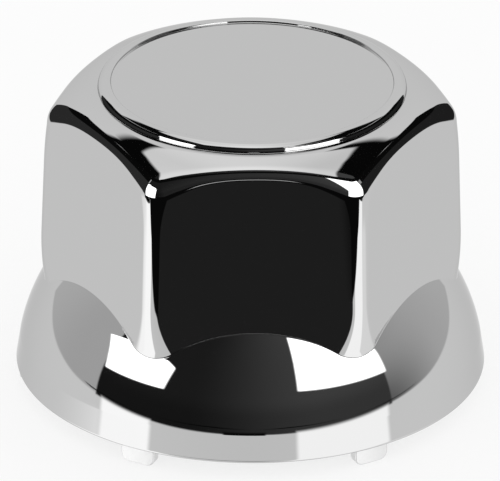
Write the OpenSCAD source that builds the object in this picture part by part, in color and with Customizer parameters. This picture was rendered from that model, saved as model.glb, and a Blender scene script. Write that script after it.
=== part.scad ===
// Push-on cover for a flanged wheel nut, moulded in one piece and chromed.
// A rounded hexagon with a domed top stands on a flared round skirt.
// The seat in the rim takes a flange of 46 mm with 0.3 mm to spare all round,
// and the grip ribs hold a hexagon of 33 mm across flats with 0.1 mm to spare.
// The origin is on the axis at the level of the tabs' feet, and +Z points out of the wheel.

/* [Rim and skirt] */
// Outer diameter of the rim at its lower edge
rim_d = 50.6; // [50:0.1:54]
// Height of the band round the rim
band_h = 3.2; // [2.6:0.1:4.2]
// How far the band leans in from its lower to its upper edge
band_lean = 0.45; // [0:0.05:0.8]
// Radius of the skirt's bell curve
skirt_r = 20; // [18:0.5:24]
// Slope of the skirt away from upright where it leaves the band
skirt_slope = 12; // [9:0.5:14]
// Radius on the rim's lower outer edge
rim_edge_r = 0.3; // [0.1:0.05:0.6]
// Wall of the rim round the seat for the nut's flange
rim_wall = 2; // [1.6:0.1:2.4]

/* [Hexagon] */
// Distance across the flats, taken down to the rim's lower edge
hex_af = 40.6; // [40:0.1:42]
// Draft of the flats
hex_draft = 1.8; // [0.5:0.1:2.5]
// Radius along the upright edges and along the top of the flats
hex_edge_r = 2; // [1:0.1:3]

/* [Top] */
// Height from the rim's lower edge to the face of the ring
cap_h = 33; // [31:0.1:38]
// Outer diameter of the flat ring
ring_d = 33; // [30:0.1:34]
// Width of the flat ring
ring_w = 1.4; // [1:0.1:3]
// Height of the ring's outer wall above the dome
ring_h = 0.9; // [0.5:0.05:1.5]
// Radius on the ring's upper edges
ring_edge_r = 0.15; // [0.05:0.05:0.25]
// Depth of the round face inside the ring
recess_depth = 0.25; // [0.1:0.05:0.4]
// Radius of the dome between the ring and the flats
dome_r = 10; // [9:0.5:14]
// Slope of the dome where it meets the ring
dome_slope = 8.5; // [4:0.5:12]

/* [Tabs] */
// Number of tabs under the rim
tab_count = 6; // [3:1:8]
// Width of a tab
tab_w = 4; // [3:0.1:6]
// Thickness of a tab
tab_t = 1.25; // [1:0.05:1.4]
// How far a tab reaches below the rim
tab_drop = 1.8; // [1.2:0.1:3]
// How far a tab's outer face lies inside the rim
tab_inset = 0.35; // [0.3:0.05:0.5]
// Radius on a tab's lower corners
tab_corner_r = 0.9; // [0.3:0.1:1.1]

/* [Inside] */
// Wall thickness of the hexagon, the dome and the skirt
wall = 2.2; // [1.8:0.1:2.4]
// Depth of the seat for the nut's flange
seat_h = 3.4; // [2.6:0.1:4]
// Lead-in at the mouth of the seat and under the tabs
lead_in = 0.4; // [0.2:0.05:0.6]
// Height of a grip rib, from the inner flat taken down to the rim's lower edge
rib_h = 1.5; // [1.2:0.05:1.8]
// Width of a grip rib
rib_w = 1; // [0.6:0.1:1.6]
// Distance between the two grip ribs on one flat
rib_pitch = 9; // [5:0.5:12]

/* [Hidden] */

sides = 6;
// How far one solid reaches into the next where they join
bite = 0.5;
round_steps = 96;
edge_steps = 36;
arc_steps = 12;

z_rim = tab_drop;
z_band = z_rim + band_h;
z_ring = z_rim + cap_h;
z_dome = z_ring - ring_h;
z_roof = z_dome - wall;
z_seat = z_rim + seat_h;
band_top_r = rim_d / 2 - band_lean;
seat_r = rim_d / 2 - rim_wall;
tab_outer_r = rim_d / 2 - tab_inset;
tab_inner_r = tab_outer_r - tab_t;
rib_crest = flat_at(z_rim, wall) - rib_h;

// Centres of the two arcs of the outside: [radius, height]
skirt_c = [band_top_r - skirt_r * cos(skirt_slope), z_band - skirt_r * sin(skirt_slope)];
dome_c = [ring_d / 2 - dome_r * sin(dome_slope), z_dome - dome_r * cos(dome_slope)];

// Half the distance across the flats at height z, moved in by t
function flat_at(z, t = 0) = hex_af / 2 - (z - z_rim) * tan(hex_draft) - t / cos(hex_draft);

// Points of an arc about c, from angle a0 to angle a1
function arc(c, r, a0, a1, n = arc_steps) =
    [for (i = [0:n]) let (a = a0 + (a1 - a0) * i / n) [c[0] + r * cos(a), c[1] + r * sin(a)]];

// Angle on the skirt's arc, drawn t inside the skirt, at height z or at radius x
function skirt_angle_at_z(z, t = 0) = asin((z - skirt_c[1]) / (skirt_r - t));
function skirt_angle_at_r(x, t = 0) = acos((x - skirt_c[0]) / (skirt_r - t));

// Hexagon with drafted flats and sharp corners between two heights, moved in by t
module hex_prism(z0, z1, t) {
    translate([0, 0, z0])
        cylinder(
            h = z1 - z0,
            r1 = flat_at(z0, t) / cos(180 / sides),
            r2 = flat_at(z1, t) / cos(180 / sides),
            $fn = sides
        );
}

// Round solid with the dome's form, its surface t inside the dome
module dome(t) {
    r = dome_r - t;
    rotate_extrude($fn = round_steps)
        polygon(concat(
            [[0, z_rim], [dome_c[0] + r, z_rim]],
            arc(dome_c, r, 0, 90 - dome_slope),
            [[0, z_dome - t]]
        ));
}

// Hexagon with its domed top, all edges rounded
module hexagon() {
    minkowski() {
        intersection() {
            hex_prism(z_band + hex_edge_r, z_ring, hex_edge_r);
            dome(hex_edge_r);
        }
        sphere(hex_edge_r, $fn = edge_steps);
    }
}

// Rim band and flared skirt, solid to the axis
module skirt() {
    top_r = flat_at(z_band, wall);
    rotate_extrude($fn = round_steps)
        polygon(concat(
            [[0, z_rim]],
            arc([rim_d / 2 - rim_edge_r, z_rim + rim_edge_r], rim_edge_r, -90, 0, 3),
            arc(skirt_c, skirt_r, skirt_slope, skirt_angle_at_r(top_r)),
            [[0, skirt_c[1] + skirt_r * sin(skirt_angle_at_r(top_r))]]
        ));
}

// Flat ring round the sunk top face
module ring() {
    outer = ring_d / 2;
    inner = outer - ring_w;
    e = ring_edge_r;
    floor_z = z_ring - recess_depth;
    rotate_extrude($fn = round_steps)
        polygon(concat(
            [[0, z_dome - bite], [outer, z_dome - bite]],
            arc([outer - e, z_ring - e], e, 0, 90, 3),
            arc([inner + e, z_ring - e], e, 90, 180, 3),
            [[inner, floor_z], [0, floor_z]]
        ));
}

// Room for the nut: flange seat, flared throat, and hexagon under the dome
module cavity() {
    throat_r = flat_at(z_seat, wall) - bite;
    // flange seat with its lead-in
    translate([0, 0, z_rim - bite])
        cylinder(h = seat_h + bite, r = seat_r, $fn = round_steps);
    translate([0, 0, z_rim - bite])
        cylinder(
            h = lead_in + bite,
            r1 = seat_r + lead_in + bite,
            r2 = seat_r,
            $fn = round_steps
        );
    // throat inside the skirt
    rotate_extrude($fn = round_steps)
        polygon(concat(
            [[0, z_seat - bite], [skirt_c[0] + (skirt_r - wall) * cos(skirt_angle_at_z(z_seat, wall)), z_seat - bite]],
            arc(skirt_c, skirt_r - wall, skirt_angle_at_z(z_seat, wall), skirt_angle_at_r(throat_r, wall)),
            [[0, skirt_c[1] + (skirt_r - wall) * sin(skirt_angle_at_r(throat_r, wall))]]
        ));
    // hexagon under the dome
    intersection() {
        hex_prism(z_seat, z_ring, wall);
        dome(wall);
    }
}

// One grip rib on the flat that faces +X, running from the throat to the roof
module grip_rib() {
    root = flat_at(z_seat, wall) + bite;
    throat_z = skirt_c[1] + (skirt_r - wall) * sin(skirt_angle_at_r(rib_crest, wall));
    foot_z = skirt_c[1] + (skirt_r - wall) * sin(skirt_angle_at_r(root, wall));
    translate([0, rib_w / 2, 0])
        rotate([90, 0, 0])
            linear_extrude(height = rib_w)
                polygon([
                    [root, foot_z],
                    [rib_crest + bite, throat_z],
                    [rib_crest, throat_z + 2 * bite],
                    [rib_crest, z_roof + bite],
                    [flat_at(z_roof, wall), z_roof + bite],
                    [root, z_roof - wall]
                ]);
}

// Two grip ribs on each inner flat
module grip_ribs() {
    for (i = [0:sides - 1])
        rotate(360 / sides * (i + 0.5))
            for (side = [-1, 1])
                translate([0, side * rib_pitch / 2, 0])
                    grip_rib();
}

// One curved tab at +X, its lower corners rounded and its inner edge eased
module tab() {
    r = tab_corner_r;
    top = z_rim + bite;
    intersection() {
        difference() {
            cylinder(h = top, r = tab_outer_r, $fn = round_steps);
            translate([0, 0, -bite])
                cylinder(h = top + 2 * bite, r = tab_inner_r, $fn = round_steps);
            translate([0, 0, -bite])
                cylinder(
                    h = lead_in + bite,
                    r1 = tab_inner_r + lead_in + bite,
                    r2 = tab_inner_r,
                    $fn = round_steps
                );
        }
        rotate([90, 0, 90])
            linear_extrude(height = rim_d)
                polygon(concat(
                    [[-tab_w / 2, top]],
                    arc([r - tab_w / 2, r], r, 180, 270, 6),
                    arc([tab_w / 2 - r, r], r, 270, 360, 6),
                    [[tab_w / 2, top]]
                ));
    }
}

module cap() {
    color("silver") {
        difference() {
            union() {
                skirt();
                hexagon();
                ring();
            }
            cavity();
        }
        grip_ribs();
        for (i = [0:tab_count - 1])
            rotate(360 / tab_count * i)
                tab();
    }
}

cap();
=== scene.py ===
"""Looks of the chromed lug nut cap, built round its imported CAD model.

The shell is one grid of quads wrapped round the axis. Its rows follow the
profile from the middle of the top face down the outside, round the rim and up
the inside to the roof. A mirror shows every uneven facet of a bevelled or cut
mesh, so the grid's vertices are worked out on the rounded surfaces instead, and
each carries its surface's own normal.
"""

import math

import bmesh
import bpy
import numpy as np
from mathutils import Matrix, Vector

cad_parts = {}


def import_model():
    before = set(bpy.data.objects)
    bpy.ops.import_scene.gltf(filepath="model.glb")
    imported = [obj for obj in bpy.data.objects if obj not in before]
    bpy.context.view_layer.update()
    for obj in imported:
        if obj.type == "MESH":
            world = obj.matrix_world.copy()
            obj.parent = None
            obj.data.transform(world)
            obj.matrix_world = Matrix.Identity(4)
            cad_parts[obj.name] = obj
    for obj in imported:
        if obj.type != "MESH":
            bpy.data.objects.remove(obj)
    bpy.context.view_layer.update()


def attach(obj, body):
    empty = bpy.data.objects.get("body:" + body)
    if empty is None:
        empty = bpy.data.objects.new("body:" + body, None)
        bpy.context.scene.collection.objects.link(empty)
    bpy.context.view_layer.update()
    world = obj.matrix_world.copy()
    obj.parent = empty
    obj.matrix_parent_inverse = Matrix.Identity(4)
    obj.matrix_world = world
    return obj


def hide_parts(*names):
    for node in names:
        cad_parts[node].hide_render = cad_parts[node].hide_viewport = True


MM = 0.001

# Sizes in millimetres and slopes in degrees, the same as the CAD model's
RIM_Z = 1.8
RIM_R = 25.3
RIM_EDGE_R = 0.3
BAND_TOP = (24.85, 5.0)
SKIRT_R = 20.0
SKIRT_SLOPE = 12.0
HEX_AF = 40.6
HEX_DRAFT = 1.8
TOP_Z = 34.8
RING_R = 16.5
RING_W = 1.4
RECESS = 0.25
WALL = 2.2
SEAT_R = 23.3
SEAT_Z = 5.2
LEAD_IN = 0.4
TAB_R = 24.95
TAB_W = 4.0
TAB_T = 1.25
TAB_CORNER_R = 0.9
RIB_H = 1.5
RIB_W = 1.0
RIB_PITCH = 9.0
BITE = 0.5

# Finer forms than the CAD model's, which only a mirror shows
HEX_EDGE_R = 1.7
HEX_FOOT_R = 0.3
RING_H = 0.8
RING_EDGE_R = 0.76
RING_FOOT_R = 0.05
RECESS_EDGE_R = 0.15
SHOULDER_R = 6.5
SHOULDER_SLOPE = 3.0
CONE_R = 12.0
CONE_SLOPE = 30.0
INNER_EDGE_R = 0.4
INNER_FOOT_R = 0.2
SEAT_EDGE_R = 0.15
SEAT_FOOT_R = 0.2

# How the upright edges' radius grows: all along, and by how much between two heights
CORNER_GROWTH = 0.45
TOP_GROWTH = (1.3, 25.5, 30.0)
FOOT_GROWTH = (2.4, 17.2, 12.2)
GROWTH_LIMIT = 1.15

# Heights between which the hexagon's edges are sought, from the top and from the rim
TOP_SEARCH = -9.0
FOOT_SEARCH = (3.0, 20.0)

# The grid's columns on one flat and one corner, and half a corner's angle on the round parts
FLAT_STEPS = 36
CORNER_STEPS = 24
CORNER_SPREAD = 5.0

# The grid's rows on the hexagon's top edge, its sides and its foot
TOP_EDGE_STEPS = 16
SIDE_STEPS = 30
FOOT_STEPS = 8

# Vertices nearer than this are one, at the seam and the two poles
JOIN_MM = 1e-4

# The photograph's view: degrees, metres, and the offsets of the picture's middle
CAMERA_YAW = 1.413
CAMERA_RISE = 26.06
CAMERA_ROLL = 0.398
CAMERA_DISTANCE = 1.0008
CAMERA_LENS_MM = 670.66
TARGET_Z = 0.018286
AIM_DOWN = 0.002303
AIM_LEFT = 0.000121

# What the darkest cards of the studio send back, where white is 1
BLACK = 0.004

# A shader node that rises smoothly from one value to another
SMOOTH = {"interpolation_type": "SMOOTHSTEP"}


def turn(degrees):
    """Cosine and sine of an angle in degrees."""
    return np.array([math.cos(math.radians(degrees)), math.sin(math.radians(degrees))])


SHOULDER_C = np.array([RING_R, TOP_Z - RING_H]) - SHOULDER_R * turn(90 - SHOULDER_SLOPE)
CONE_C = SHOULDER_C + (SHOULDER_R - CONE_R) * turn(90 - CONE_SLOPE)
SKIRT_C = np.array(BAND_TOP) - SKIRT_R * turn(SKIRT_SLOPE)


def across(i):
    """Place of a flat's column, from -1 to 1. The columns crowd towards the corners."""
    return math.sin(math.pi * (i / FLAT_STEPS - 0.5))


def columns():
    """Foot direction and outward normal of the hexagon's side for every column."""
    draft = math.radians(HEX_DRAFT)
    feet, normals = [], []
    for side in range(6):
        out = turn(-90 + 60 * side)
        along = np.array([-out[1], out[0]])
        after = turn(-30 + 60 * side)
        n0 = np.array([*(math.cos(draft) * out), math.sin(draft)])
        n1 = np.array([*(math.cos(draft) * after), math.sin(draft)])
        for i in range(FLAT_STEPS):
            feet.append(out + across(i) * math.tan(math.pi / 6) * along)
            normals.append(n0)
        for i in range(CORNER_STEPS):
            feet.append(out + math.tan(math.pi / 6) * along)
            normals.append(slerp(n0[None], n1[None], i / CORNER_STEPS)[0])
    return np.array(feet), np.array(normals)


def slerp(a, b, t):
    """Unit vectors on the great circle from a to b."""
    angle = np.arccos(np.clip((a * b).sum(1), -1, 1))[:, None]
    safe = np.maximum(angle, 1e-6)
    mixed = (np.sin((1 - t) * safe) * a + np.sin(t * safe) * b) / np.sin(safe)
    return mixed / np.linalg.norm(mixed, axis=1)[:, None]


def solve(rises, low, high):
    """Where a rising function of one value per column crosses zero."""
    low, high = np.full(COLUMNS, float(low)), np.full(COLUMNS, float(high))
    for _ in range(40):
        middle = (low + high) / 2
        above = rises(middle) > 0
        high = np.where(above, middle, high)
        low = np.where(above, low, middle)
    return (low + high) / 2


def polar(points):
    """Distance from the axis and height of each point."""
    return np.stack([np.hypot(points[:, 0], points[:, 1]), points[:, 2]], 1)


def lift(direction, azimuth):
    """Turns radial and upright parts into a vector at an azimuth."""
    return np.stack(
        [direction[:, 0] * np.cos(azimuth), direction[:, 0] * np.sin(azimuth), direction[:, 1]], 1
    )


def spread():
    """Azimuth of every column on the round parts: the corners' columns stay bunched."""
    azimuths = []
    half = 30 - CORNER_SPREAD
    for side in range(6):
        middle = -90 + 60 * side
        azimuths += [middle + half * across(i) for i in range(FLAT_STEPS)]
        azimuths += [middle + half + 2 * CORNER_SPREAD * i / CORNER_STEPS for i in range(CORNER_STEPS)]
    return np.radians(azimuths)


FEET, SIDE_NORMALS = columns()
COLUMNS = len(FEET)
EVEN = spread()
CORNER_SHARE = np.tile(
    [abs(across(i)) ** 3 for i in range(FLAT_STEPS)] + [1.0] * CORNER_STEPS, 6
)


def revolved(profile):
    """Rows of the shell from radius, height and normal angle."""
    rows = []
    for r, z, angle in profile:
        n = turn(angle)
        rows.append((lift(np.tile([r, z], (COLUMNS, 1)), EVEN), lift(np.tile(n, (COLUMNS, 1)), EVEN)))
    return rows


def arc(centre, radius, start, end, steps):
    """Profile points of an arc. A negative radius makes it hollow."""
    return [
        (*(np.array(centre) + radius * turn(a)), a) for a in np.linspace(start, end, steps + 1)
    ]


def line(start, end, angle, steps):
    """Profile points of a straight stretch, without its ends."""
    return [
        (*(np.array(start) + (np.array(end) - start) * i / steps), angle) for i in range(1, steps)
    ]


def angle_of(directions):
    """Azimuth of each point or direction."""
    return np.arctan2(directions[:, 1], directions[:, 0])


def nearest_turn(azimuth):
    """Azimuths without a jump, next to the evenly spread ones."""
    return EVEN + (azimuth - EVEN + math.pi) % (2 * math.pi) - math.pi


def dome_gap(points, inset):
    """How far points of the half plane lie outside the dome's two arcs."""
    off = points - SHOULDER_C
    steep = np.arctan2(off[:, 0], off[:, 1]) > math.radians(CONE_SLOPE)
    shoulder = np.linalg.norm(off, axis=1) - SHOULDER_R
    cone = np.linalg.norm(points - CONE_C, axis=1) - CONE_R
    return np.where(steep, cone, shoulder) + inset


def dome_at(angle, inset):
    """Point of the dome whose normal has this angle above the level."""
    side = np.stack([np.cos(angle), np.sin(angle)], 1)
    steep = (angle < math.radians(90 - CONE_SLOPE))[:, None]
    return np.where(
        steep, CONE_C + (CONE_R - inset) * side, SHOULDER_C + (SHOULDER_R - inset) * side
    )


def skirt_at(angle, inset):
    """Point of the skirt whose normal has this angle above the level."""
    return SKIRT_C + (SKIRT_R - inset) * np.stack([np.cos(angle), np.sin(angle)], 1)


def hexagon(wall, least_r, foot_r, fuller):
    """The six sides with their rounded top edge and foot, for one skin of the wall.

    The rounding of the upright edges grows towards the top corners and the feet by
    the share given as fuller. Returns the rows from the dome down to the skirt, and
    where they end on both.
    """
    draft = math.radians(HEX_DRAFT)
    skirt_r = SKIRT_R - wall
    near = 0.01

    def radius(z):
        grown = CORNER_GROWTH
        for growth, start, end in (TOP_GROWTH, FOOT_GROWTH):
            share = np.clip((z - start) / (end - start), 0, GROWTH_LIMIT)
            grown = grown + growth * share**2
        return least_r + fuller * CORNER_SHARE * grown

    def edge(z):
        inset = wall + radius(z)
        apothem = HEX_AF / 2 - (z - RIM_Z) * math.tan(draft) - inset / math.cos(draft)
        return np.stack([FEET[:, 0] * apothem, FEET[:, 1] * apothem, z], 1)

    def side(z):
        return edge(z) + radius(z)[:, None] * SIDE_NORMALS

    def side_normals(z):
        level_part = SIDE_NORMALS[:, :2] / np.linalg.norm(SIDE_NORMALS[:, :2], axis=1)[:, None]
        swell = (radius(z + near) - radius(z - near)) / (2 * near)
        reach = (level_part * FEET).sum(1) * (math.tan(draft) + swell / math.cos(draft))
        rise = (reach - swell * math.cos(draft)) / (1 + swell * math.sin(draft))
        normals = np.concatenate([level_part, rise[:, None]], 1)
        return normals / np.linalg.norm(normals, axis=1)[:, None]

    def past_dome(z):
        return dome_gap(polar(edge(z)), wall + radius(z))

    def off_skirt(z):
        centre = side(z) + foot_r * side_normals(z)
        return np.linalg.norm(polar(centre) - SKIRT_C, axis=1) - skirt_r - foot_r

    z_top = solve(past_dome, TOP_Z + TOP_SEARCH, TOP_Z)
    z_foot = solve(off_skirt, RIM_Z + FOOT_SEARCH[0], RIM_Z + FOOT_SEARCH[1])
    top = edge(z_top)
    off = polar(top) - SHOULDER_C
    steep = np.arctan2(off[:, 0], off[:, 1]) > math.radians(CONE_SLOPE)
    dome_side = np.where(steep[:, None], polar(top) - CONE_C, off)
    dome_side /= np.linalg.norm(dome_side, axis=1)[:, None]
    dome_normals = lift(dome_side, angle_of(top))
    centre = side(z_foot) + foot_r * side_normals(z_foot)
    skirt_side = (polar(centre) - SKIRT_C) / (skirt_r + foot_r)
    skirt_normals = lift(skirt_side, angle_of(centre))

    rows = []
    for t in np.linspace(1, 0, TOP_EDGE_STEPS + 1):
        outward = slerp(SIDE_NORMALS, dome_normals, t)
        shown = slerp(side_normals(z_top), dome_normals, t)
        rows.append((top + radius(z_top)[:, None] * outward, shown))
    for t in np.linspace(0, 1, SIDE_STEPS + 1)[1:-1]:
        z = z_top + (z_foot - z_top) * t
        rows.append((side(z), side_normals(z)))
    for t in np.linspace(0, 1, FOOT_STEPS + 1):
        n = slerp(side_normals(z_foot), skirt_normals, t)
        rows.append((centre - foot_r * n, n))
    dome_end = np.arctan2(dome_side[:, 1], dome_side[:, 0]), nearest_turn(angle_of(top))
    skirt_end = (
        np.arctan2(skirt_side[:, 1], skirt_side[:, 0]),
        nearest_turn(angle_of(centre)),
    )
    return rows, dome_end, skirt_end


def swept(place, inset, start, end, steps):
    """Rows along the dome or the skirt between two ends, without those ends."""
    rows = []
    for t in np.linspace(0, 1, steps + 1)[1:-1]:
        angle = start[0] + (end[0] - start[0]) * t
        azimuth = start[1] + (end[1] - start[1]) * t
        side = np.stack([np.cos(angle), np.sin(angle)], 1)
        rows.append((lift(place(angle, inset), azimuth), lift(side, azimuth)))
    return rows


def level(angle):
    """An arc's end that is the same all round."""
    return np.full(COLUMNS, math.radians(angle)), EVEN


def ring_rows():
    """The sunk face, the ring round it and the ring's foot on the dome.

    Returns the rows, and the angle at which the dome takes over.
    """
    inner_r = RING_R - RING_W
    floor_z = TOP_Z - RECESS
    edge = RECESS_EDGE_R
    fillet = RECESS - edge
    foot_r = RING_R + RING_FOOT_R
    reach = SHOULDER_R + RING_FOOT_R
    foot_angle = math.degrees(math.acos((foot_r - SHOULDER_C[0]) / reach))
    foot_z = SHOULDER_C[1] + reach * math.sin(math.radians(foot_angle))
    ring = [(r, floor_z, 90) for r in (0.0, 4.0, 8.0, 12.0)]
    ring += arc((inner_r - fillet, floor_z + fillet), -fillet, 90, 180, 5)
    ring += arc((inner_r + edge, TOP_Z - edge), edge, 180, 90, 6)[1:]
    ring += arc((RING_R - RING_EDGE_R, TOP_Z - RING_EDGE_R), RING_EDGE_R, 90, 0, 14)
    ring += arc((foot_r, foot_z), -RING_FOOT_R, 0, foot_angle, 6)
    return revolved(ring), foot_angle


def band_rows():
    """The band round the rim, from the skirt's foot to the rim's lower face."""
    top = np.array(BAND_TOP)
    centre = np.array([RIM_R - RIM_EDGE_R, RIM_Z + RIM_EDGE_R])
    lean = math.degrees(math.atan2(RIM_R - top[0], top[1] - RIM_Z - RIM_EDGE_R))
    foot = centre + RIM_EDGE_R * turn(lean)
    band = [(*(SKIRT_C + SKIRT_R * turn(SKIRT_SLOPE)), SKIRT_SLOPE)]
    band += [(*(top + (foot - top) * t), lean) for t in (0.03, 0.35, 0.7)]
    band += arc(centre, RIM_EDGE_R, lean, -90, 8)
    return revolved(band)


def outside_rows():
    """The chromed skin, from the middle of the top face to the rim's lower face."""
    rows, ring_end = ring_rows()
    sides, dome_end, skirt_end = hexagon(0.0, HEX_EDGE_R, HEX_FOOT_R, 1.0)
    rows += swept(dome_at, 0.0, level(ring_end), dome_end, 18)
    rows += sides
    rows += swept(skirt_at, 0.0, skirt_end, level(SKIRT_SLOPE), 30)
    return rows + band_rows()


def seat_rows():
    """The rim's mouth, the flange's seat and the lip of the throat.

    Returns the rows, and the angle at which the throat takes over.
    """
    soft = SEAT_EDGE_R
    turn_out = soft * math.tan(math.radians(22.5))
    mouth = SEAT_R + LEAD_IN
    skin_r = SKIRT_R - WALL
    lip = math.degrees(math.asin((SEAT_Z + soft - SKIRT_C[1]) / (skin_r + soft)))
    seat = [(mouth + 0.5, RIM_Z, -90)]
    seat += arc((mouth + turn_out, RIM_Z + soft), soft, -90, -135, 3)
    seat += arc((SEAT_R + soft, RIM_Z + LEAD_IN + turn_out), soft, -135, -180, 3)
    seat += line((SEAT_R, RIM_Z + 1), (SEAT_R, SEAT_Z - 0.5), -180, 3)
    seat += arc((SEAT_R - SEAT_FOOT_R, SEAT_Z - SEAT_FOOT_R), -SEAT_FOOT_R, -180, -90, 5)
    seat += [(SEAT_R - 0.4, SEAT_Z, -90)]
    seat += arc(SKIRT_C + (skin_r + soft) * turn(lip), soft, -90, -180 + lip, 4)
    return revolved(seat), lip


def inside_rows():
    """The satin skin, from the rim's lower face up to the middle of the roof."""
    rows, lip = seat_rows()
    sides, dome_end, skirt_end = hexagon(WALL, INNER_EDGE_R, INNER_FOOT_R, 0.0)
    hollow = swept(skirt_at, WALL, level(lip), skirt_end, 12) + sides[::-1]
    hollow += swept(dome_at, WALL, dome_end, level(90 - SHOULDER_SLOPE), 6)
    roof = SHOULDER_C + (SHOULDER_R - WALL) * turn(90 - SHOULDER_SLOPE)
    hollow += revolved([(*roof, 90 - SHOULDER_SLOPE / 2)])
    hollow += revolved([(r, roof[1], 90) for r in (15.5, 10.0, 5.0, 0.0)])
    return rows + [(points, -normals) for points, normals in hollow]


def mesh_from(name, bm, *materials):
    """Makes a mesh of what was built in millimetres."""
    bmesh.ops.scale(bm, vec=(MM, MM, MM), verts=bm.verts)
    mesh = bpy.data.meshes.new(name)
    bm.to_mesh(mesh)
    bm.free()
    for material in materials:
        mesh.materials.append(material)
    return mesh


def object_from(name, data):
    """Adds an object to the scene, at the origin."""
    made = bpy.data.objects.new(name, data)
    bpy.context.scene.collection.objects.link(made)
    return made


def build_shell(chrome, satin):
    """The whole moulding but for its ribs and tabs, chromed outside and satin inside."""
    outside, inside = outside_rows(), inside_rows()
    rows = outside + inside
    last = len(rows) - 1
    bm = bmesh.new()
    bmesh.ops.create_grid(bm, x_segments=last, y_segments=COLUMNS, size=1)
    normal_layer = bm.verts.layers.float_vector.new("surface_normal")
    for v in bm.verts:
        row = round((v.co.x + 1) / 2 * last)
        column = round((v.co.y + 1) / 2 * COLUMNS) % COLUMNS
        points, normals = rows[row]
        v[normal_layer] = normals[column]
        v.co = Vector(points[column])
        v.index = row
    for face in bm.faces:
        face.smooth = True
        face.material_index = int(min(v.index for v in face.verts) >= len(outside))
    bmesh.ops.remove_doubles(bm, verts=bm.verts, dist=JOIN_MM)
    mesh = mesh_from("cap_shell", bm, chrome, satin)
    normals = [tuple(d.vector) for d in mesh.attributes["surface_normal"].data]
    mesh.attributes.remove(mesh.attributes["surface_normal"])
    mesh.normals_split_custom_set_from_vertices(normals)
    return object_from("cap_shell", mesh)


def moulded(name, bm, material, edge_r):
    """Makes a piece with rounded edges of what was built in millimetres."""
    bmesh.ops.recalc_face_normals(bm, faces=bm.faces)
    mesh = mesh_from(name, bm, material)
    mesh.shade_smooth()
    piece = object_from(name, mesh)
    rounding = piece.modifiers.new("rounding", "BEVEL")
    rounding.width = edge_r * MM
    rounding.segments = 3
    rounding.angle_limit = math.radians(50)
    rounding.harden_normals = True
    return piece


def copies_round_axis(bm, count):
    """Repeats what there is round the axis, in equal turns."""
    bmesh.ops.spin(
        bm,
        geom=bm.verts[:] + bm.edges[:] + bm.faces[:],
        cent=(0, 0, 0),
        axis=(0, 0, 1),
        angle=2 * math.pi * (count - 1) / count,
        steps=count - 1,
        use_duplicate=True,
    )


def build_tabs(satin):
    """Six curved tabs under the rim, one at each corner of the hexagon."""
    top = RIM_Z + BITE
    bm = bmesh.new()
    bmesh.ops.create_cube(bm, size=1)
    bmesh.ops.scale(bm, vec=(TAB_T, TAB_W, top), verts=bm.verts)
    bmesh.ops.translate(bm, vec=(TAB_R - TAB_T / 2, 0, top / 2), verts=bm.verts)
    feet = [
        e
        for e in bm.edges
        if e.verts[0].co.z < BITE and abs(e.verts[0].co.x - e.verts[1].co.x) > BITE
    ]
    bmesh.ops.bevel(
        bm, geom=feet, offset=TAB_CORNER_R, segments=6, profile=0.5, affect="EDGES", material=-1
    )
    for y in np.linspace(-0.3, 0.3, 5) * TAB_W:
        bmesh.ops.bisect_plane(
            bm, geom=bm.verts[:] + bm.edges[:] + bm.faces[:], plane_co=(0, y, 0), plane_no=(0, 1, 0)
        )
    for v in bm.verts:
        v.co.xy = turn(math.degrees(v.co.y / TAB_R)) * v.co.x
    copies_round_axis(bm, 6)
    return moulded("tabs", bm, satin, 0.15)


def build_ribs(satin):
    """Two grip ribs on each inner flat, from the throat up into the roof."""

    def inner_flat(z):
        return HEX_AF / 2 - (z - RIM_Z) * math.tan(math.radians(HEX_DRAFT)) - WALL

    def throat(x):
        return SKIRT_C[1] + math.sqrt((SKIRT_R - WALL) ** 2 - (x - SKIRT_C[0]) ** 2)

    root = inner_flat(SEAT_Z) + BITE
    crest = inner_flat(RIM_Z) - RIB_H
    roof = TOP_Z - RING_H - WALL
    outline = [
        (root, throat(root)),
        (crest + BITE, throat(crest)),
        (crest, throat(crest) + 2 * BITE),
        (crest, roof + BITE),
        (inner_flat(roof), roof + BITE),
        (root, roof - WALL),
    ]
    bm = bmesh.new()
    side = bm.faces.new([bm.verts.new((x, (RIB_PITCH - RIB_W) / 2, z)) for x, z in outline])
    far_side = bmesh.ops.extrude_face_region(bm, geom=[side])["geom"]
    bmesh.ops.translate(
        bm, vec=(0, RIB_W, 0), verts=[v for v in far_side if isinstance(v, bmesh.types.BMVert)]
    )
    bmesh.ops.mirror(bm, geom=bm.verts[:] + bm.edges[:] + bm.faces[:], axis="Y")
    bmesh.ops.rotate(bm, matrix=Matrix.Rotation(math.radians(30), 3, "Z"), verts=bm.verts)
    copies_round_axis(bm, 6)
    return moulded("grip_ribs", bm, satin, 0.1)


def node(tree, kind, *inputs, named=None, **settings):
    """Adds a shader node with its settings, and fills its inputs in order or by name.

    An input is a value, a socket, or a node whose first output is meant.
    """
    made = tree.nodes.new("ShaderNode" + kind)
    for name, value in settings.items():
        setattr(made, name, value)
    for key, value in [*enumerate(inputs), *(named or {}).items()]:
        if isinstance(value, bpy.types.Node):
            value = value.outputs[0]
        if isinstance(value, bpy.types.NodeSocket):
            tree.links.new(value, made.inputs[key])
        elif value is not None:
            made.inputs[key].default_value = value
    return made


def linear(code):
    """Linear colour of an sRGB hex code."""
    parts = [int(code[i : i + 2], 16) / 255 for i in (1, 3, 5)]
    return [p / 12.92 if p <= 0.04045 else ((p + 0.055) / 1.055) ** 2.4 for p in parts] + [1.0]


def azimuth_of(tree, x, y):
    """Degrees from the front towards the right."""
    ahead = node(tree, "Math", y, -1.0, operation="MULTIPLY")
    angle = node(tree, "Math", x, ahead, operation="ARCTAN2")
    return node(tree, "Math", angle, operation="DEGREES")


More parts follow.
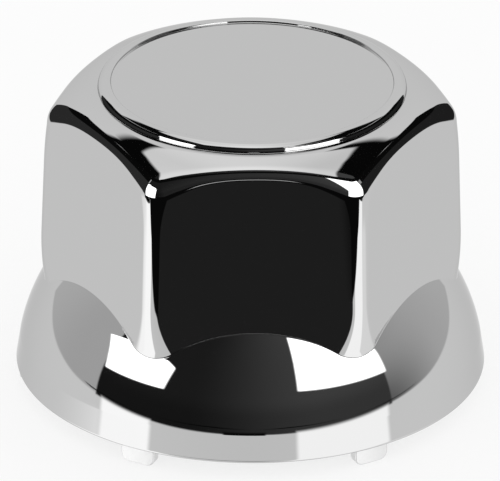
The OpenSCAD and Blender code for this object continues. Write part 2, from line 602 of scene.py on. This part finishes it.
def panel(tree, plane, corners, soft, corner=3.0):
    """Mask of a convex panel with soft edges, its corners counter-clockwise.

    The plane's third part is 1, so that one product gives the distance to an edge.
    """
    inside = None
    for (x0, y0), (x1, y1) in zip(corners, corners[1:] + corners[:1]):
        length = math.hypot(x1 - x0, y1 - y0)
        nx, ny = -(y1 - y0) / length, (x1 - x0) / length
        edge = (nx, ny, -nx * x0 - ny * y0)
        gap = node(tree, "VectorMath", plane, edge, operation="DOT_PRODUCT").outputs["Value"]
        if inside is None:
            inside = gap
        else:
            inside = node(tree, "Math", inside, gap, corner, operation="SMOOTH_MIN")
    return node(tree, "MapRange", inside, -soft, soft, **SMOOTH)


def tent(tree, side, height, mirrored):
    """The bright back wall, the wall straight behind and the table, on black."""
    wall = [(119, -20), (190, -20), (190, 31), (160, 43.8), (146, 45.3), (130, 38), (121, 26)]
    back = panel(tree, mirrored, wall, 2.0, 4.0)
    behind = node(tree, "MapRange", side, 168.5, 170.5, **SMOOTH)
    table = node(tree, "MapRange", height, 1.0, 3.0, 1.0, 0.0, **SMOOTH)
    bright = node(tree, "Math", back, behind, operation="MAXIMUM")
    bright = node(tree, "Math", bright, table, operation="MAXIMUM")
    level_of_light = node(tree, "MapRange", side, 0.0, 90.0, 0.82, 0.9, **SMOOTH)
    return node(tree, "Mix", bright, None, 0.003, level_of_light)


def side_walls(tree, light, azimuth, side, height, mirrored):
    """Grey walls on both sides, the right one darker towards the front and the table."""
    lower = [(60, -1.7), (97, -1.3), (121, 0.4), (137, 2.6)]
    upper = [(137.5, 8), (124, 33), (118, 36.5), (60, 36.5)]
    flank = panel(tree, mirrored, lower + upper, 0.7, 0.5)
    grey = node(tree, "MapRange", side, 96.0, 148.0, 0.545, 0.67, **SMOOTH)
    on_right = node(tree, "MapRange", azimuth, 39.0, 41.0, **SMOOTH)
    near_front = node(tree, "MapRange", azimuth, 66.0, 110.0, 1.0, 0.0, **SMOOTH)
    near_table = node(tree, "MapRange", height, -4.0, 28.0, 0.76, 0.25, **SMOOTH)
    shade = node(tree, "Math", near_front, on_right, operation="MULTIPLY")
    shade = node(tree, "Math", shade, near_table, operation="MULTIPLY")
    kept = node(tree, "Math", 1.0, shade, operation="SUBTRACT")
    grey = node(tree, "Math", grey, kept, operation="MULTIPLY")
    return node(tree, "Mix", flank, None, light, grey)


def dark_front(tree, light, azimuth, height, plane):
    """The dark room in front of the object, with a faint glow that grows to the right."""
    corners = [(-81, -2.2), (-40, -3.5), (40, -3.5), (70.5, -2.2), (72, 80), (-84, 80)]
    room = panel(tree, plane, corners, 0.7, 0.5)
    glow = node(tree, "MapRange", azimuth, -34.0, 38.0, 0.016, 0.072, **SMOOTH)
    rising = node(tree, "MapRange", height, 6.0, 18.0, 0.72, 1.0, **SMOOTH)
    glow = node(tree, "Math", glow, rising, operation="MULTIPLY")
    return node(tree, "Mix", room, None, light, glow)


def overhead_light(tree, light, x, y, z):
    """The large light above, brightest along its middle and towards the front."""
    front = [(-0.465, 0.08), (-0.455, -0.43), (0.37, -0.50), (0.415, 0.12), (0.375, 0.31)]
    right = [(0.31, 0.48), (0.235, 0.63), (0.1, 0.71), (-0.06, 0.73)]
    left = [(-0.16, 0.67), (-0.25, 0.57), (-0.36, 0.45), (-0.435, 0.27)]
    plane = node(tree, "CombineXYZ", x, y, 1.0)
    overhead = panel(tree, plane, front + right + left, 0.012, 0.03)
    above = node(tree, "MapRange", z, 0.2, 0.4, **SMOOTH)
    overhead = node(tree, "Math", overhead, above, operation="MULTIPLY")
    off_middle = node(tree, "Math", x, operation="ABSOLUTE")
    across = node(tree, "MapRange", x, -0.4, 0.4, 1.0, 0.88, **SMOOTH)
    along = node(tree, "MapRange", y, -0.35, 0.25, 1.15, 0.96, **SMOOTH)
    ridge = node(tree, "MapRange", off_middle, -0.01, 0.31, 1.17, 1.0, **SMOOTH)
    ceiling = node(tree, "Math", across, along, operation="MULTIPLY")
    ceiling = node(tree, "Math", ceiling, ridge, operation="MULTIPLY")
    return node(tree, "Mix", overhead, None, light, ceiling)


def table_cards(tree, light, plane):
    """White cards lying on the table to both sides, and black ones in front."""
    white_left = [(-77, -19), (-50, -19), (-50, -3.0), (-77, -2.0)]
    white_far_left = [(-105, -60), (-60, -60), (-60, -15), (-80, -15), (-102, -23)]
    white_low_left = [(-80, -60), (-46, -60), (-46, -17), (-80, -15)]
    white_right = [(21, -60), (68, -60), (68, -2.0), (21, -3.0)]
    pale_far_right = [(66, -60), (118, -60), (116, -22), (84, -21), (66, -16)]
    black_near = [(-41, -19), (-5, -24.6), (5, -24.6), (14, -19)]
    black_far = [(14, -18), (4, -11), (-20, -11), (-41, -16)]
    black_back = [(-14, -8.3), (6, -8.3), (6, -2), (-14, -2)]
    dark_middle = [(-8, -24.3), (8, -24.3), (8, -18), (-8, -18)]
    for corners, soft, value in (
        (white_left, 1.5, 1.55),
        (white_far_left, 9.0, 1.5),
        (white_low_left, 1.5, 1.55),
        (white_right, 1.5, 1.45),
        (pale_far_right, 2.0, 1.08),
        (black_near + black_far, 0.6, BLACK),
        (black_back, 0.8, BLACK),
        (dark_middle, 1.0, 0.0195),
    ):
        light = node(tree, "Mix", panel(tree, plane, corners, soft, 1.0), None, light, value)
    return light


def build_studio():
    """The studio as the chrome mirrors it, by direction: azimuth and height in degrees.

    The camera and the paper see plain white.
    """
    world = bpy.data.worlds.new("studio")
    bpy.context.scene.world = world
    world.use_nodes = True
    tree = world.node_tree
    tree.nodes.clear()
    way = node(tree, "TexCoord").outputs["Generated"]
    x, y, z = node(tree, "SeparateXYZ", way).outputs
    azimuth = azimuth_of(tree, x, y)
    height = node(tree, "Math", node(tree, "Math", z, operation="ARCSINE"), operation="DEGREES")
    side = node(tree, "Math", azimuth, operation="ABSOLUTE")
    plane = node(tree, "CombineXYZ", azimuth, height, 1.0)
    mirrored = node(tree, "CombineXYZ", side, height, 1.0)

    light = tent(tree, side, height, mirrored)
    light = side_walls(tree, light, azimuth, side, height, mirrored)
    light = dark_front(tree, light, azimuth, height, plane)
    light = overhead_light(tree, light, x, y, z)
    light = table_cards(tree, light, plane)

    in_chrome = node(tree, "LightPath").outputs["Is Glossy Ray"]
    shown = node(tree, "Mix", in_chrome, None, 1.0, light)
    node(tree, "OutputWorld", node(tree, "Background", linear("#ffffff"), shown))


def staged_card(name, bm, masks, light):
    """A studio card seen only in the chrome. It is open air outside its masks."""
    material = bpy.data.materials.new(name)
    material.use_nodes = True
    tree = material.node_tree
    tree.nodes.clear()
    place = node(tree, "TexCoord").outputs["Object"]
    millimetres = node(tree, "VectorMath", place, (1 / MM,) * 3, operation="MULTIPLY")
    lit = node(tree, "Emission", named={"Strength": light})
    open_air = node(tree, "BsdfTransparent")
    both = node(tree, "MixShader", masks(tree, millimetres), open_air, lit)
    node(tree, "OutputMaterial", both)
    card = object_from(name, mesh_from(name, bm, material))
    card.visible_camera = card.visible_diffuse = card.visible_shadow = False


def build_card(name, radii, corners, soft, light):
    """A card curved round the object, with a radius at its foot and one at its top.

    Its corners are azimuths from the front in degrees and heights in millimetres.
    """
    azimuths, heights = [a for a, _ in corners], [h for _, h in corners]
    start = math.radians(min(azimuths) - soft)
    sweep = math.radians(max(azimuths) + soft) - start
    bm = bmesh.new()
    side = Vector((math.sin(start), -math.cos(start), 0))
    low = bm.verts.new(side * radii[0] + Vector((0, 0, min(heights) - soft)))
    high = bm.verts.new(side * radii[1] + Vector((0, 0, max(heights) + soft)))
    upright = [low, high, bm.edges.new((low, high))]
    bmesh.ops.spin(bm, geom=upright, axis=(0, 0, 1), cent=(0, 0, 0), angle=sweep, steps=32)

    def masks(tree, place):
        x, y, z = node(tree, "SeparateXYZ", place).outputs
        plane = node(tree, "CombineXYZ", azimuth_of(tree, x, y), z, 1.0)
        return panel(tree, plane, corners, soft, min(2.5, 2 * soft))

    staged_card(name, bm, masks, light)


def build_table_end():
    """What lies beyond the front edge of the bright table, black and level.

    It is held above the skirt, so that only the hexagon mirrors it.
    """
    end, above_table = 900, 6
    front_left = [(-end, -end), (-11, -end), (-11, -42), (-45, -49), (-80, -56.5), (-end, -235)]
    far_left = [(-end, -235), (-88, -58.2), (-88, -24), (-end, -24)]
    front_right = [(11.5, -48), (11.5, -end), (end, -end), (end, -306)]
    far_right = [(90, -48), (90, -72), (end, -307), (end, -48)]
    bm = bmesh.new()
    bmesh.ops.create_grid(bm, x_segments=1, y_segments=1, size=end)
    bmesh.ops.translate(bm, vec=(0, 0, above_table), verts=bm.verts)

    def masks(tree, place):
        x, y, _ = node(tree, "SeparateXYZ", place).outputs
        plane = node(tree, "CombineXYZ", x, y, 1.0)
        dark = 0.0
        for corners in (front_left, far_left, front_right, far_right):
            beyond = panel(tree, plane, corners, 1.0, 3.0)
            dark = node(tree, "Math", dark, beyond, operation="MAXIMUM")
        return dark

    staged_card("table_end", bm, masks, BLACK)


def build_cards():
    """Two softboxes in front, and dark cards so near that each form mirrors them its own way."""
    white, grey, dim = 3.0, 0.035, 0.02
    softbox_left = [(-69, 21.5), (-39.5, 25.5), (-40, 72), (-46, 95), (-70, 95), (-81, 62)]
    softbox_right = [(19.5, 29.5), (61.5, 23.5), (62.5, 40), (56, 80), (30, 96), (22.5, 96)]
    high = [(-62, 46.5), (62, 46.5), (62, 53), (-62, 53)]
    left = [(-118, 27.5), (-56, 27.5), (-56, 40), (-118, 40)]
    left_top = [(-118, 39), (-58, 39), (-58, 51), (-118, 51)]
    right = [(50, 27.5), (118, 27.5), (118, 40), (50, 40)]
    right_top = [(56, 39), (118, 39), (118, 51), (56, 51)]
    build_card("softbox_left", (72, 150), softbox_left, 0.8, white)
    build_card("softbox_right", (74, 74), softbox_right, 0.8, white)
    build_card("dark_card_high", (36, 36), high, 0.4, BLACK)
    build_card("dark_card_left", (36, 36), left, 0.4, grey)
    build_card("black_card_left", (36.5, 36.5), left_top, 0.4, BLACK)
    build_card("dark_card_right", (36, 36), right, 0.4, dim)
    build_card("black_card_right", (36.5, 36.5), right_top, 0.4, BLACK)
    build_table_end()


def plated(name, colour, tint, roughness, spread_of_gloss, grain_mm, relief_mm):
    """Metal plate whose gloss and level vary with a grain of this size."""
    material = bpy.data.materials.new(name)
    material.use_nodes = True
    tree = material.node_tree
    tree.nodes.clear()
    place = node(tree, "TexCoord").outputs["Object"]
    size = {"Vector": place, "Scale": 1 / (grain_mm * MM), "Detail": 3.0}
    grain = node(tree, "TexNoise", named=size)
    duller = roughness + spread_of_gloss
    gloss = node(tree, "MapRange", grain, 0.3, 0.7, roughness, duller)
    relief = {"Distance": relief_mm * MM, "Height": grain}
    surface = {
        "Base Color": linear(colour),
        "Specular Tint": linear(tint),
        "Metallic": 1.0,
        "Roughness": gloss,
        "Normal": node(tree, "Bump", named=relief),
    }
    node(tree, "OutputMaterial", node(tree, "BsdfPrincipled", named=surface))
    return material


def bright_chrome():
    """Chrome over copper and bright nickel on ABS, from a polished mould."""
    # To the eye a clear, neutral mirror, a little darker than silver.
    # The long wave of the plastic under it, 4 mm and nearly flat, only stirs the edges.
    return plated("bright_chrome", "#cbcbcb", "#e3e3e3", 0.015, 0.015, 4.0, 0.0004)


def satin_plating():
    """The same plating on the hidden faces, which the mould leaves matt."""
    # To the eye a pale grey metal with blurred highlights and a fine sparkle.
    # The mould's grain of about 0.05 mm is too fine to show, so it is drawn at 0.15 mm.
    return plated("satin_plating", "#d8d8d8", "#ffffff", 0.28, 0.12, 0.15, 0.004)


def white_paper():
    """Matt white paper under the object."""
    # To the eye plain white with a faint shadow: the camera sees four fifths of it unshaded.
    material = bpy.data.materials.new("white_paper")
    material.use_nodes = True
    tree = material.node_tree
    tree.nodes.clear()
    fibre = {"Base Color": linear("#f2f2f2"), "Roughness": 0.9}
    seen = node(tree, "LightPath").outputs["Is Camera Ray"]
    share = node(tree, "Math", seen, 0.8, operation="MULTIPLY")
    paper = node(tree, "BsdfPrincipled", named=fibre)
    both = node(tree, "MixShader", share, paper, node(tree, "Emission"))
    node(tree, "OutputMaterial", both)
    return material


def build_floor():
    """A pale floor under the tabs. The chrome mirrors the studio's own table instead."""
    bm = bmesh.new()
    bmesh.ops.create_grid(bm, x_segments=1, y_segments=1, size=2000)
    floor = object_from("floor", mesh_from("floor", bm, white_paper()))
    floor.visible_glossy = False


def place_camera():
    """A long lens at the photograph's angle, aimed beside the target by its offsets."""
    camera = object_from("camera", bpy.data.cameras.new("camera"))
    bpy.context.scene.camera = camera
    camera.data.sensor_fit = "HORIZONTAL"
    camera.data.sensor_width = 36.0
    camera.data.lens = CAMERA_LENS_MM
    yaw, rise = math.radians(CAMERA_YAW), math.radians(CAMERA_RISE)
    level_part = math.cos(rise)
    back = Vector((-math.sin(yaw) * level_part, -math.cos(yaw) * level_part, math.sin(rise)))
    target = Vector((0, 0, TARGET_Z))
    place = target + back * CAMERA_DISTANCE
    turned = (-back).to_track_quat("-Z", "Y")
    aim = target - turned @ Vector((AIM_LEFT, AIM_DOWN, 0))
    look = (aim - place).to_track_quat("-Z", "Y").to_matrix()
    roll = Matrix.Rotation(math.radians(CAMERA_ROLL), 3, "Z")
    camera.matrix_world = Matrix.Translation(place) @ (look @ roll).to_4x4()


def main():
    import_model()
    chrome, satin = bright_chrome(), satin_plating()
    for piece in (build_shell(chrome, satin), build_tabs(satin), build_ribs(satin)):
        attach(piece, "root")
        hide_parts("cap")
    place_camera()
    build_floor()
    build_studio()
    build_cards()
    bpy.context.scene.view_settings.view_transform = "Standard"


main()
